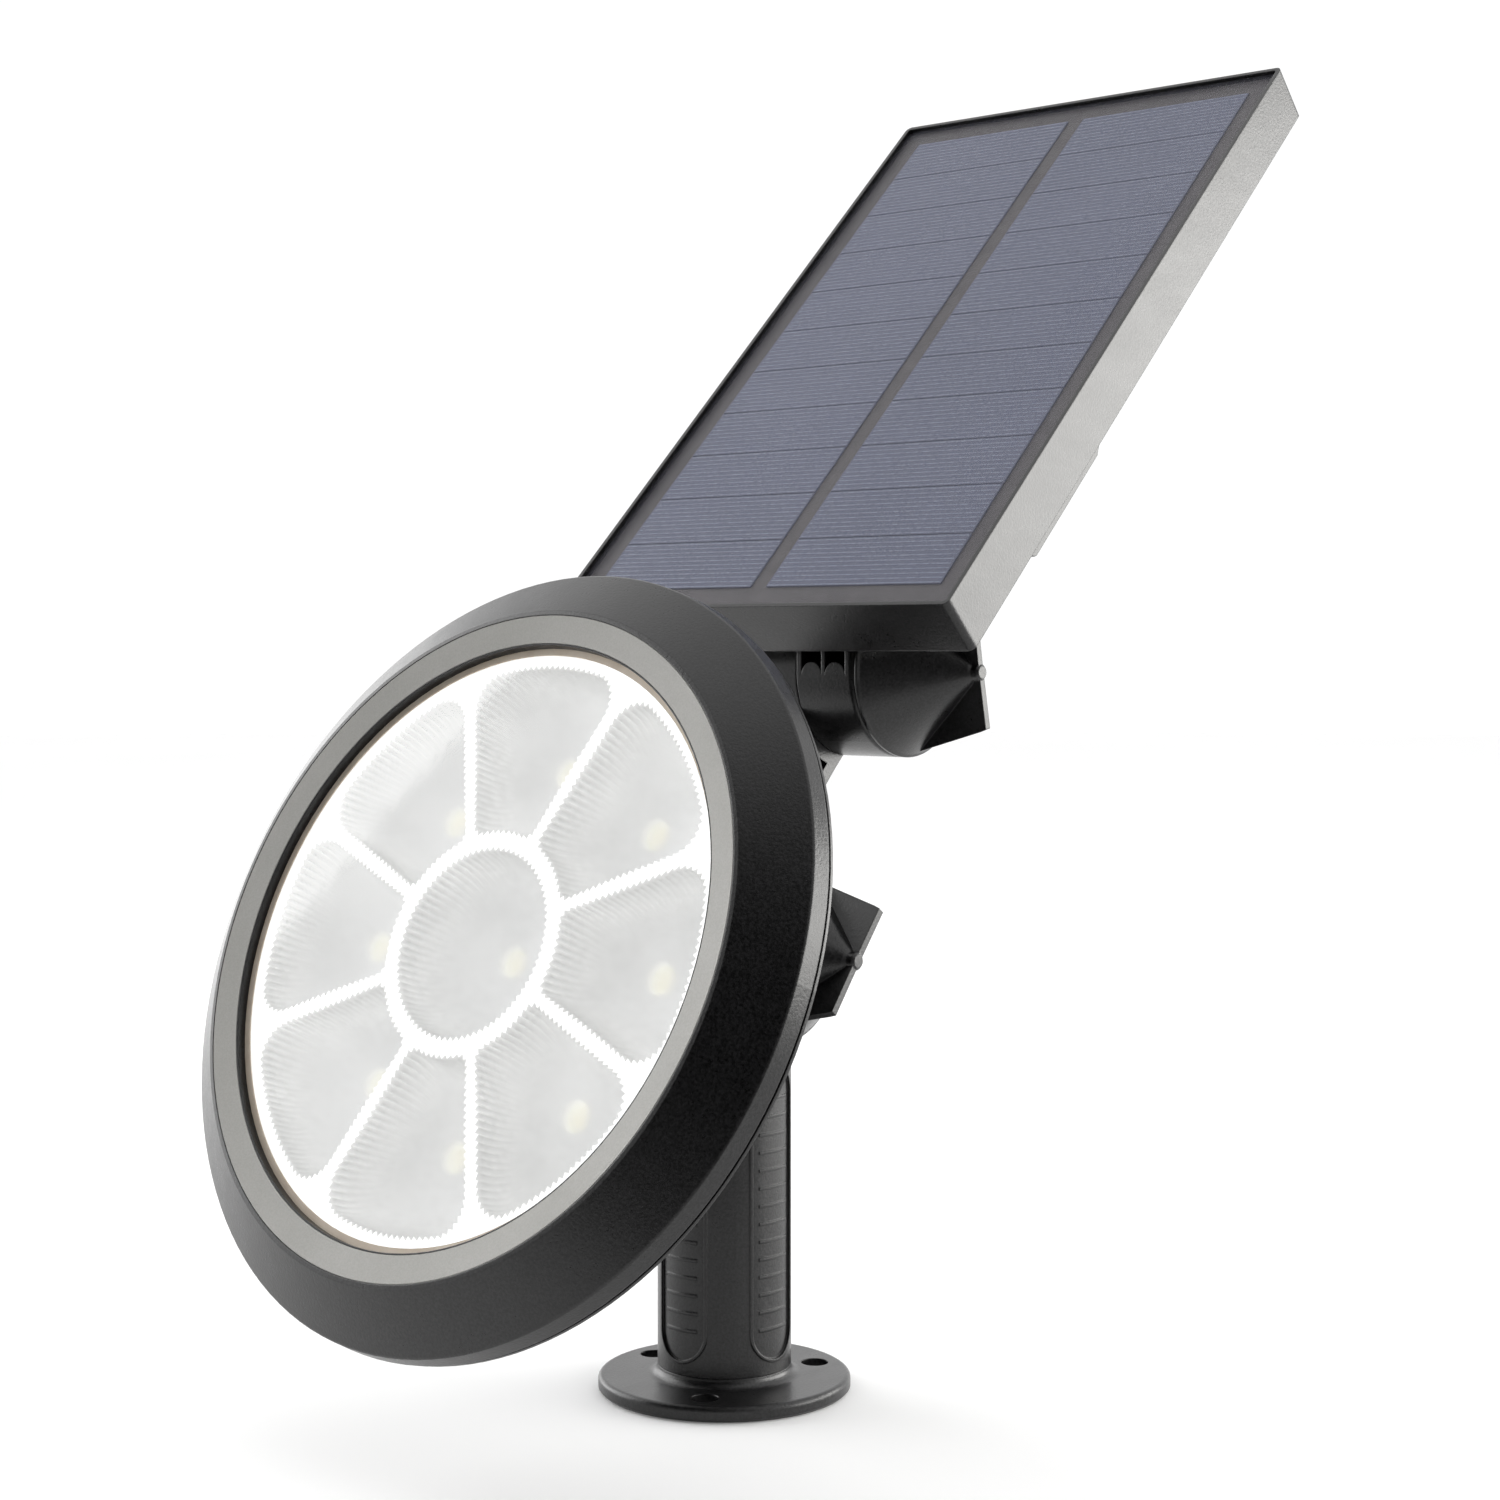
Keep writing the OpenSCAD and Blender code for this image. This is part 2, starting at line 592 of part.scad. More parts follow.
// Pocket in the bracket's upright front, with a half-round floor.
module bracket_pocket() difference() {
    translate([0, -barrel_r - 5, dome_z]) cube([rib_gap, pocket_deep + 5, 16]);
    translate([rib_gap / 2, -barrel_r - 6, dome_z]) rotate([-90, 0, 0]) cylinder(r = dome_r, h = 20);
}

// Side outline of the block between barrel and foot, round the hinge axis: its front is
// upright and meets the barrel smoothly.
front_y = -barrel_r * cos(panel_tilt);
front_z = barrel_r * sin(panel_tilt);
module bracket_outline() polygon([[0, 0], [front_y, front_z],
    [front_y + (block_top - front_z) * tan(panel_tilt), block_top],
    [block_back, block_top], [block_back, 0]]);

module panel_bracket() color(charcoal) difference() {
    union() {
        at_upper_hinge() translate([0, 0, gap]) barrel(barrel_half - gap);
        in_panel() {
            translate([(foot_x0 + foot_x1) / 2, foot_l0, -panel_t - 0.02])
                plate(foot_x1 - foot_x0, foot_l1 - foot_l0, foot_t, 2);
            translate([gap, hinge_l, -hinge_drop]) rotate([90, 0, 90])
                linear_extrude(barrel_half - gap - 1.2) bracket_outline();
        }
    }
    level_upper_hinge() for (x = pocket_x) translate([x, 0, 0]) bracket_pocket();
    at_upper_hinge() cylinder(r = pivot_r, h = 60, center = true);
    in_panel() foot_screws() {
        translate([0, 0, -panel_t - foot_t - 2]) cylinder(r = 1.6, h = 8);
        translate([0, 0, -panel_t - foot_t - 2]) cylinder(r = 2.9, h = 3.4);
    }
}

module bracket_screws() color(steel) in_panel() foot_screws()
    translate([0, 0, -panel_t - foot_t + 1.37]) screw(1.45, 5.6, 2.7, 1.5);

// ---- battery compartment ------------------------------------------------------------
cover_rim_d = panel_t + 0.5;
battery_r = 9.2;
battery_len = 50;
battery_l = 55;
battery_d = 15.4;
tact_d = 13.7;         // depth of the switch's outer face on the control board
ctrl_d = 8.6;
ctrl_t = 1.6;

// Side outline of the cover, drawn in by m, with its open face at depth top.
module cover_outline(m, top) polygon([[cover_l0 + m, -top], [cover_l0 + m, -cover_drop + m + 1.2],
    [cover_l0 + m + 0.4, -cover_drop + m + 0.4], [cover_l0 + m + 1.2, -cover_drop + m],
    [cover_l1 - m * 0.3, -cover_drop + m], [cover_l2 - m, -panel_t - 1.8 + m * 0.9],
    [cover_l2 - m, -top]]);

module cover_block(m, top) rotate([90, 0, 90]) translate([0, 0, -cover_w / 2 + m])
    linear_extrude(cover_w - 2 * m) cover_outline(m, top);

module battery_cover() color(charcoal) in_panel() difference() {
    union() {
        difference() {
            cover_block(0, cover_rim_d);
            cover_block(cover_wall, cover_rim_d - 5);
        }
        intersection() {
            cover_block(0, cover_rim_d);
            cover_screw_spots() translate([0, 0, -cover_drop]) cylinder(r = 4, h = cover_drop);
        }
    }
    cover_screw_spots() {
        translate([0, 0, -cover_drop - 1]) cylinder(r = 2.8, h = cover_drop + 1 - cover_rim_d - 2);
        translate([0, 0, -cover_drop - 1]) cylinder(r = 1.4, h = cover_drop);
    }
    translate([0, button_l, -cover_drop - 1]) cylinder(r = button_r + 0.3, h = 5);
    translate([-gland_x, cover_l0 - 1, -20]) rotate([-90, 0, 0]) cylinder(r = 3.02, h = 5);
}

module cover_gasket() color(black) in_panel()
    translate([0, cover_l0 + 0.4, -panel_t - 0.02])
        seal(cover_w - 0.8, cover_l2 - cover_l0 - 0.8, 0.46, 0.5, 1);

module cover_screws() color(steel) in_panel() cover_screw_spots()
    translate([0, 0, -cover_rim_d - 2.02]) screw(1.25, 6, 2.6, 1.6);

module battery() color([0.2, 0.4, 0.6]) in_panel()
    translate([-battery_len / 2, battery_l, -battery_d]) rotate([0, 90, 0]) rotate_extrude()
        polygon([[0, 0], [battery_r - 0.6, 0], [battery_r, 0.6], [battery_r, battery_len - 2],
            [battery_r - 0.6, battery_len - 1], [3, battery_len - 1], [3, battery_len],
            [0, battery_len]]);

module battery_contacts() color(steel) in_panel() for (s = [-1, 1])
    translate([s * (battery_len / 2 + 0.35), battery_l, -battery_d])
        translate([-0.3, -5, -6]) cube([0.6, 10, 12]);

module control_board() color([0.1, 0.35, 0.2]) in_panel()
    translate([0, 65.2, -ctrl_d]) plate(52, 24.5, ctrl_t, 1);

module board_parts() color(black) in_panel() {
    translate([-3, button_l - 3, -tact_d]) cube([6, 6, tact_d - ctrl_d - ctrl_t - 0.02]);
    for (x = [-18, 14]) translate([x, 76, -ctrl_d + 0.02]) cube([6, 5, 1.6]);
    translate([-17, 80, -ctrl_d - ctrl_t - 3.5]) cylinder(r = 3.2, h = 3.48);
    translate([11, 77, -ctrl_d - ctrl_t - 3]) cube([6, 6, 2.98]);
}

module switch_button() color([0.25, 0.25, 0.26]) in_panel() translate([0, button_l, 0])
    rotate_extrude() polygon([[0, -tact_d - 1.2], [1.4, -tact_d - 1.2], [1.4, -24], [4.2, -24],
        [4.2, -25.5], [button_r, -25.5], [button_r, -cover_drop - 0.8],
        [button_r - 0.5, -cover_drop - 1.3], [0, -cover_drop - 1.5]]);

module panel_gland() color(black) in_panel()
    translate([-gland_x, cover_l0, -20]) rotate([90, 0, 0]) {
        translate([0, 0, -1.7]) cylinder(r = 3, h = 1.72);
        rotate_extrude() polygon([[0, 0.02], [4.6, 0.02], [4.6, 1.5], [3.4, 2.6], [2.8, 5.5], [0, 5.5]]);
    }

base_flange();
post();
bracket_arm();
post_screws();
lower_bolt();
upper_bolt();
lower_friction_disc();
upper_friction_disc();
rear_housing();
bezel();
trim_ring();
lens();
lens_gasket();
reflector();
led_board();
leds();
board_screws();
housing_gasket();
housing_screws();
head_gland();
head_bracket();
head_bracket_screws();
panel_tray();
panel_window();
solar_cells();
cell_board();
panel_seal();
panel_bracket();
bracket_screws();
battery_cover();
cover_gasket();
cover_screws();
battery();
battery_contacts();
control_board();
board_parts();
panel_gland();
switch_button();
lower_washer();
upper_washer();
lower_knob();
upper_knob();
lower_knob_nut();
upper_knob_nut();
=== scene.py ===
"""Solar garden light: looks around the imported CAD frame. Metres, Z up, the lamp faces -Y."""
import json
import math
import bmesh
import bpy
from mathutils import Matrix, Vector


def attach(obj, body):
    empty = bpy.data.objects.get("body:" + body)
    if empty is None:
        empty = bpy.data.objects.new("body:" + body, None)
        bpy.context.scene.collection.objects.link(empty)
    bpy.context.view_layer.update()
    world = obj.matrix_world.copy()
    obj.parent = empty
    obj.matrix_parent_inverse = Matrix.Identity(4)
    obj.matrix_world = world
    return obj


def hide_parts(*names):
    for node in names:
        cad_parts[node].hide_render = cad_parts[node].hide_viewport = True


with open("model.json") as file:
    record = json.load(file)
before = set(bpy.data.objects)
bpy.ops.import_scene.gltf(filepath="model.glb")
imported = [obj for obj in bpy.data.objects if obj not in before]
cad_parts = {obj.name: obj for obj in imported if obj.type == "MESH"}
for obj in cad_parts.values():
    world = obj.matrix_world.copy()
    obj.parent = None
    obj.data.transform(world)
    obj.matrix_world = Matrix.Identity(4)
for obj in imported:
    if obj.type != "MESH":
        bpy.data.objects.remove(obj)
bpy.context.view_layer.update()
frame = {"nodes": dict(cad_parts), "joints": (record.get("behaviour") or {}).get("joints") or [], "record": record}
nodes = frame["nodes"]
MM = 0.001

# ---- places: the hinges come from the frame, the rest repeats the design -------------
joint_at = {j["name"]: Vector(j["pos_m"]) for j in frame["joints"] if "pos_m" in j}
LOWER = joint_at["head_tilt"]
UPPER = joint_at["panel_tilt"]
HEAD_TILT = math.radians(23)                    # the face looks this far up
PANEL_TILT = math.radians(44.2)                 # slope of the panel
HEAD_REACH, HEAD_RISE = 69.5 * MM, 20.6 * MM    # lower hinge to the face, forward and up
HINGE_L, HINGE_DROP = 16.7 * MM, 34.7 * MM      # panel's hinge, from its low edge and below its rim


def turn(angle, axis):
    return Matrix.Rotation(angle, 4, axis)


# Lamp frame: +Z out of the face, +Y up across it. Panel frame: +Y up the slope, +Z outward.
HEAD = (Matrix.Translation(LOWER) @ turn(math.radians(90) - HEAD_TILT, "X")
        @ Matrix.Translation((0, -HEAD_RISE, HEAD_REACH)))
PANEL = (Matrix.Translation(UPPER) @ turn(PANEL_TILT, "X")
         @ Matrix.Translation((0, -HINGE_L, HINGE_DROP)))


def toward(azimuth, elevation):
    """Unit vector, azimuth in degrees from +Y towards +X, elevation up from the floor."""
    a, e = math.radians(azimuth), math.radians(elevation)
    return Vector((math.sin(a) * math.cos(e), math.cos(a) * math.cos(e), math.sin(e)))


# ---- node helpers --------------------------------------------------------------------
class Shader:
    """A material with a Principled shader and short calls for its procedural nodes."""

    def __init__(self, name, **values):
        self.mat = bpy.data.materials.new(name)
        self.mat.use_nodes = True
        self.tree = self.mat.node_tree
        self.tree.nodes.clear()
        self.out = self.tree.nodes.new("ShaderNodeOutputMaterial")
        self.bsdf = self.tree.nodes.new("ShaderNodeBsdfPrincipled")
        self.link(self.bsdf.outputs[0], self.out.inputs["Surface"])
        self.coords = self.tree.nodes.new("ShaderNodeTexCoord").outputs["Object"]
        self.set(**values)

    def set(self, **values):
        for key, value in values.items():
            socket = self.bsdf.inputs[key.replace("_", " ")]
            socket.default_value = (*value, 1) if isinstance(value, tuple) else value

    def link(self, a, b):
        self.tree.links.new(a, b)

    def noise(self, scale, detail=3.0, rough=0.5, stretch=None):
        node = self.tree.nodes.new("ShaderNodeTexNoise")
        node.inputs["Scale"].default_value = scale
        node.inputs["Detail"].default_value = detail
        node.inputs["Roughness"].default_value = rough
        self.link(self.stretched(stretch), node.inputs["Vector"])
        return node.outputs["Fac"]

    def cells(self, scale):
        node = self.tree.nodes.new("ShaderNodeTexVoronoi")
        node.inputs["Scale"].default_value = scale
        self.link(self.coords, node.inputs["Vector"])
        return node.outputs["Distance"]

    def along(self, direction):
        """How far a point lies along a direction, in metres from the origin."""
        node = self.tree.nodes.new("ShaderNodeVectorMath")
        node.operation = "DOT_PRODUCT"
        node.inputs[1].default_value = direction
        self.link(self.coords, node.inputs[0])
        return node.outputs["Value"]

    def attribute(self, name):
        node = self.tree.nodes.new("ShaderNodeAttribute")
        node.attribute_name = name
        return node.outputs["Fac"]

    def stretched(self, stretch):
        """Object coordinates, scaled on each axis when stretch is given."""
        if stretch is None:
            return self.coords
        node = self.tree.nodes.new("ShaderNodeMapping")
        node.inputs["Scale"].default_value = stretch
        self.link(self.coords, node.inputs["Vector"])
        return node.outputs["Vector"]

    def colours(self, fac, low, high, start=0.3, end=0.7):
        """fac from start to end becomes a colour from low to high."""
        node = self.tree.nodes.new("ShaderNodeValToRGB")
        for stop, place, colour in zip(node.color_ramp.elements, (start, end), (low, high)):
            stop.position = place
            stop.color = (*colour, 1)
        self.link(fac, node.inputs["Fac"])
        return node.outputs["Color"]

    def remap(self, fac, low, high, start=0.3, end=0.7):
        """fac from start to end becomes a value from low to high."""
        node = self.tree.nodes.new("ShaderNodeMapRange")
        for key, value in (("From Min", start), ("From Max", end), ("To Min", low), ("To Max", high)):
            node.inputs[key].default_value = value
        self.link(fac, node.inputs["Value"])
        return node.outputs["Result"]

    def math(self, kind, a, b):
        node = self.tree.nodes.new("ShaderNodeMath")
        node.operation = kind
        for socket, value in zip(node.inputs, (a, b)):
            if isinstance(value, (int, float)):
                socket.default_value = value
            else:
                self.link(value, socket)
        return node.outputs[0]

    def blend_colours(self, fac, a, b, kind="MIX"):
        node = self.tree.nodes.new("ShaderNodeMix")
        node.data_type = "RGBA"
        node.blend_type = kind
        for key, value in ((0, fac), (6, a), (7, b)):
            if isinstance(value, tuple):
                node.inputs[key].default_value = (*value, 1)
            elif isinstance(value, (int, float)):
                node.inputs[key].default_value = value
            else:
                self.link(value, node.inputs[key])
        return node.outputs[2]

    def base(self, colour):
        self.link(colour, self.bsdf.inputs["Base Color"])

    def rough(self, value):
        self.link(value, self.bsdf.inputs["Roughness"])

    def bump(self, *layers):
        """layers are (height, distance in metres), the coarsest first."""
        normal = None
        for height, distance in layers:
            node = self.tree.nodes.new("ShaderNodeBump")
            node.inputs["Strength"].default_value = 1.0
            node.inputs["Distance"].default_value = distance
            self.link(height, node.inputs["Height"])
            if normal is not None:
                self.link(normal, node.inputs["Normal"])
            normal = node.outputs["Normal"]
        self.link(normal, self.bsdf.inputs["Normal"])

    def round_edges(self, radius):
        """Softens the look of every edge, under the first bump."""
        node = self.tree.nodes.new("ShaderNodeBevel")
        node.samples = 4
        node.inputs["Radius"].default_value = radius
        bumps = [n for n in self.tree.nodes if n.type == "BUMP" and not n.inputs["Normal"].is_linked]
        self.link(node.outputs["Normal"], bumps[0].inputs["Normal"])


# ---- materials -----------------------------------------------------------------------
EDGE_R = 0.35 * MM                # how round the plastic's sharp edges look
LENS_MIDDLE = 2.8 * MM            # depth of the lens's middle below the trim ring
FROST = 0.19                      # roughness of the lens's underside
LAMP_GLOW = 0.48                  # of the lit reflector; white is about 1
LED_GLOW = 0.37
BOARD_GLOW = 0.32


def charcoal_plastic():
    """Charcoal ABS with a fine spark-eroded grain and faint handling marks."""
    s = Shader("charcoal_plastic")
    grain = s.noise(1900, 2, 0.6)
    tint = s.colours(s.noise(60, 4, 0.55), (0.0050, 0.0048, 0.0052), (0.0072, 0.0070, 0.0075))
    pits = s.colours(grain, (0.15, 0.15, 0.16), (1.9, 1.9, 1.9), 0.36, 0.66)
    s.base(s.blend_colours(1.0, tint, pits, "MULTIPLY"))
    scuffs = s.remap(s.noise(240, 3, 0.6, (1, 0.25, 1)), 0.29, 0.33)
    s.rough(s.math("ADD", scuffs, s.remap(grain, -0.03, 0.03)))
    s.bump((grain, 0.00004))
    s.round_edges(EDGE_R)
    return s.mat


def trim_plastic():
    """Satin grey painted ring with a fine flake."""
    s = Shader("trim_plastic", Specular_IOR_Level=0.35)
    flake = s.colours(s.noise(3000, 2), (0.90, 0.90, 0.89), (1, 1, 1), 0.35, 0.65)
    s.base(s.blend_colours(1.0, s.colours(s.noise(45, 4), (0.43, 0.425, 0.40), (0.49, 0.483, 0.46)),
                           flake, "MULTIPLY"))
    s.rough(s.remap(s.noise(900, 2), 0.42, 0.52))
    s.bump((s.noise(3200, 2), 0.000012))
    return s.mat


def clear_lens():
    """Polycarbonate, clear outside with hair-fine wiping marks and frosted underneath."""
    s = Shader("clear_lens", Base_Color=(0.98, 0.99, 1.0), IOR=1.45, Transmission_Weight=1.0)
    face_on = HEAD.to_3x3() @ Vector((0, 0, 1))
    middle = face_on.dot(HEAD @ Vector((0, 0, -LENS_MIDDLE)))
    frost = s.remap(s.along(face_on), FROST, 0.0, middle - 0.1 * MM, middle + 0.1 * MM)
    s.rough(s.math("ADD", frost, s.remap(s.noise(120, 3), 0.015, 0.05)))
    s.bump((s.noise(500, 2, 0.5, (1, 0.1, 1)), 0.000004))
    return s.mat


def gasket_silicone():
    """Pale peach silicone, slightly mottled."""
    s = Shader("gasket_silicone")
    s.base(s.colours(s.noise(300, 3), (0.78, 0.66, 0.53), (0.88, 0.77, 0.64)))
    s.rough(s.remap(s.noise(900, 2), 0.5, 0.65))
    s.bump((s.noise(1500, 2), 0.00003))
    return s.mat


def reflector_white(name, albedo, glow):
    """White reflector, lit by the lamp's own LEDs: its soft glow is painted light, and the flutes get painted
    shade in both colour and glow.
    """
    s = Shader(name, Emission_Strength=glow)
    # painted shade: the flutes darken the colour and the glow below; the glow's colour also has soft painted
    # patches
    flute_shade = s.attribute("flute_shade")
    slow = s.colours(s.noise(70, 2), (albedo * 0.96,) * 3, (albedo,) * 3)
    s.base(s.blend_colours(flute_shade, slow, (0.93, 0.93, 0.925), "MULTIPLY"))
    warm = s.colours(s.noise(75, 1), (0.90, 0.892, 0.865), (1.05, 1.04, 1.01))
    s.link(s.blend_colours(flute_shade, warm, (0.50, 0.50, 0.49), "MULTIPLY"),
           s.bsdf.inputs["Emission Color"])
    s.rough(s.remap(s.noise(600, 2), 0.22, 0.34))
    s.bump((s.noise(1400, 2), 0.00001))
    return s.mat


def led_package():
    """Warm phosphor over the LED chips."""
    s = Shader("led_package", Emission_Strength=LED_GLOW)
    warm = s.colours(s.noise(900, 2), (1.0, 0.95, 0.78), (1.0, 0.98, 0.88))
    s.base(warm)
    s.link(warm, s.bsdf.inputs["Emission Color"])
    s.rough(s.remap(s.noise(1500, 2), 0.3, 0.45))
    return s.mat


def metal(name, low, high, rough_low, rough_high, stretch=(1, 8, 8)):
    """Plated metal with fine turning marks, blotches and small dents."""
    s = Shader(name, Metallic=1.0)
    s.base(s.colours(s.noise(350, 4), low, high))
    s.rough(s.remap(s.noise(700, 3, 0.6, stretch), rough_low, rough_high))
    s.bump((s.noise(500, 2), 0.00001), (s.noise(2500, 2, 0.5, stretch), 0.00001))
    return s.mat


def rubber(name, low, high):
    """Matt rubber or moulded epoxy with a fine grain."""
    s = Shader(name)
    s.base(s.colours(s.noise(400, 3), low, high))
    s.rough(s.remap(s.noise(700, 3), 0.62, 0.82))
    s.bump((s.noise(1800, 2), 0.00004))
    return s.mat


def panel_clear():
    """Clear resin window with a fine stipple that scatters the light."""
    s = Shader("panel_clear", Alpha=0.16)
    s.base(s.colours(s.noise(40, 3), (0.16, 0.16, 0.20), (0.20, 0.20, 0.24)))
    s.rough(s.remap(s.noise(900, 2), 0.24, 0.34))
    s.bump((s.cells(2600), 0.000012))
    return s.mat


def cell_blue():
    """Blue-grey silicon with a faint grain and a slow change of tint."""
    s = Shader("cell_blue")
    slow = s.colours(s.noise(18, 2), (0.132, 0.154, 0.252), (0.170, 0.190, 0.298))
    speck = s.colours(s.noise(1700, 2), (0.80, 0.82, 0.90), (1, 1, 1), 0.35, 0.65)
    s.base(s.blend_colours(1.0, slow, speck, "MULTIPLY"))
    s.rough(s.remap(s.noise(500, 2), 0.28, 0.42))
    s.bump((s.noise(1400, 2), 0.00001))
    return s.mat


def finger_silver():
    """Printed silver lines, dulled by the resin over them."""
    s = Shader("finger_silver", Metallic=0.4)
    s.base(s.colours(s.noise(1500, 2), (0.20, 0.23, 0.34), (0.34, 0.38, 0.50), 0.35, 0.6))
    s.rough(s.remap(s.noise(800, 2), 0.3, 0.45))
    return s.mat


def cell_backing():
    """Dark backing sheet that shows between the cells and round them."""
    s = Shader("cell_backing")
    s.base(s.colours(s.noise(120, 4), (0.090, 0.078, 0.076), (0.125, 0.112, 0.108)))
    s.rough(s.remap(s.noise(500, 3), 0.45, 0.6))
    s.bump((s.noise(900, 2), 0.00002))
    return s.mat


def board(name, low, high, glow=0.0):
    """Solder mask with the weave of the laminate showing through. glow is what the LEDs give it."""
    s = Shader(name, Emission_Color=high, Emission_Strength=glow)
    weave = s.math("MULTIPLY", s.noise(900, 2, 0.5, (1, 0.2, 1)), s.noise(900, 2, 0.5, (0.2, 1, 1)))
    s.base(s.colours(weave, low, high, 0.15, 0.4))
    s.rough(s.remap(s.noise(400, 2), 0.3, 0.45))
    s.bump((weave, 0.00002))
    return s.mat


def shrink_sleeve():
    """Blue heat-shrink sleeve with faint creases round the battery."""
    s = Shader("battery_wrap")
    s.base(s.colours(s.noise(90, 3), (0.05, 0.16, 0.34), (0.07, 0.21, 0.42)))
    s.rough(s.remap(s.noise(300, 3), 0.22, 0.38))
    s.bump((s.noise(220, 3, 0.5, (1, 3, 3)), 0.00005))
    return s.mat


MATERIALS = {
    "charcoal_plastic": charcoal_plastic(),
    "trim_plastic": trim_plastic(),
    "clear_lens": clear_lens(),
    "gasket_silicone": gasket_silicone(),
    "reflector_white": reflector_white("reflector_white", 0.50, LAMP_GLOW),
    "led_package": led_package(),
    "board_white": board("board_white", (0.70, 0.70, 0.64), (0.86, 0.86, 0.79), BOARD_GLOW),
    "black_rubber": rubber("black_rubber", (0.012, 0.012, 0.012), (0.022, 0.022, 0.022)),
    "zinc_steel": metal("zinc_steel", (0.50, 0.50, 0.50), (0.66, 0.66, 0.64), 0.22, 0.38),
    "brass_nut": metal("brass_nut", (0.55, 0.38, 0.14), (0.72, 0.54, 0.24), 0.25, 0.4),
    "panel_clear": panel_clear(),
    "cell_blue": cell_blue(),
    "cell_backing": cell_backing(),
    "board_green": board("board_green", (0.01, 0.10, 0.04), (0.03, 0.20, 0.09)),
    "component_black": rubber("component_black", (0.015, 0.015, 0.016), (0.03, 0.03, 0.032)),
    "battery_wrap": shrink_sleeve(),
    "button_rubber": rubber("button_rubber", (0.045, 0.045, 0.048), (0.07, 0.07, 0.072)),
}


def dress_nodes():
    """Gives each CAD node the material of its slot in the record."""
    for part in frame["record"]["subparts"]:
        mesh = nodes[part["node"]].data
        mesh.materials.clear()
        mesh.materials.append(MATERIALS[part["material_slot"]])


# ---- mesh helpers --------------------------------------------------------------------
MERGE_DISTANCE = 1e-7


def finish_piece(name, mesh, body, materials, sharp=35):
    """Cleans a mesh, smooths it up to the sharp angle in degrees and makes it a piece on body."""
    bm = bmesh.new()
    bm.from_mesh(mesh)
    bmesh.ops.remove_doubles(bm, verts=bm.verts, dist=MERGE_DISTANCE)
    bmesh.ops.recalc_face_normals(bm, faces=bm.faces)
    bm.to_mesh(mesh)
    bm.free()
    for polygon in mesh.polygons:
        polygon.use_smooth = True
    mesh.set_sharp_from_angle(angle=math.radians(sharp))
    for material in materials:
        mesh.materials.append(material)
    piece = bpy.data.objects.new(name, mesh)
    bpy.context.scene.collection.objects.link(piece)
    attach(piece, body)
    return piece


# ---- reflector with fluted cells, in the lamp's frame --------------------------------
CELLS = 8
HUB_R, HUB_RIM_R = 18.5 * MM, 20.9 * MM         # edge of the middle cell, start of the outer ones
CELL_OUT_R = 54.4 * MM
REFLECTOR_R, REFLECTOR_BACK_R = 58.5 * MM, 55.2 * MM
SPOKE_HALF, SPOKE_FLARE = 0.72 * MM, 0.012      # half width at the hub, and its growth outwards
INNER_CORNER_R, OUTER_CORNER_R = 2.2 * MM, 7 * MM
RIB_DEPTH, REFLECTOR_BACK = 3.5 * MM, 16.4 * MM # depth of the rib tops and of the back
FLUTE_PITCH, FLUTE_DEPTH = 1.45 * MM, 0.85 * MM
FLUTE_STEPS = 4                                 # points on each flute
BOWL_DEPTH, BOWL_RINGS = 11.5 * MM, 12
BOWL_WIDTH_POWER, BOWL_DEPTH_POWER = 0.55, 1.1  # of the bowl's section; both 1 is a quarter ellipse
FLUTE_FADE_POWER, SHADE_FADE = 0.7, 1.6         # how flutes and their painted shade run out down the bowl
LED_R, LED_HOLE_R = 37 * MM, 2.9 * MM
TRACE_RAYS, TRACE_REACH, TRACE_HALVINGS = 720, 45 * MM, 30
RIM_STEPS, HUB_STEPS = 256, 360
RIB, BOWL = 0, 1                                # material indices


def circle(radius, count):
    """Points round the origin, clockwise from +Y."""
    turns = [math.tau * i / count for i in range(count)]
    return [(radius * math.sin(turn), radius * math.cos(turn)) for turn in turns]


def pairs(loop):
    """Each item of a closed loop with the one after it."""
    return zip(loop, loop[1:] + loop[:1])


def rounded_max(a, b, k):
    """Signed distance to the meeting of two regions, its corner rounded by radius k."""
    return (min(max(a + k, b + k), 0) + math.hypot(max(a + k, 0), max(b + k, 0))) - k


def sector_distance(x, y):
    """Signed distance to the edge of the cell that points along +Y."""
    r, angle = math.hypot(x, y), abs(math.atan2(x, y))
    spoke = SPOKE_HALF + SPOKE_FLARE * (r - HUB_RIM_R)
    side = spoke - r * math.sin(math.pi / CELLS - angle)
    inner = rounded_max(side, HUB_RIM_R - r, INNER_CORNER_R)
    return rounded_max(inner, r - CELL_OUT_R, OUTER_CORNER_R)


def trace(centre, distance):
    """Edge points of a region round centre, found by halving along rays."""
    points = []
    for dx, dy in circle(1, TRACE_RAYS):
        low, high = 0.0, TRACE_REACH
        for _ in range(TRACE_HALVINGS):
            mid = (low + high) / 2
            if distance(centre[0] + dx * mid, centre[1] + dy * mid) < 0:
                low = mid
            else:
                high = mid
        points.append((centre[0] + dx * low, centre[1] + dy * low))
    return points


def evenly(points, count):
    """The closed outline again, with count points at equal steps along it."""
    ring = points + points[:1]
    steps = [math.dist(a, b) for a, b in zip(ring, ring[1:])]
    total, walked, k, out = sum(steps), 0.0, 0, []
    for i in range(count):
        goal = total * i / count
        while walked + steps[k] < goal:
            walked += steps[k]
            k += 1
        t = (goal - walked) / steps[k]
        out.append((ring[k][0] * (1 - t) + ring[k + 1][0] * t,
                    ring[k][1] * (1 - t) + ring[k + 1][1] * t))
    return out


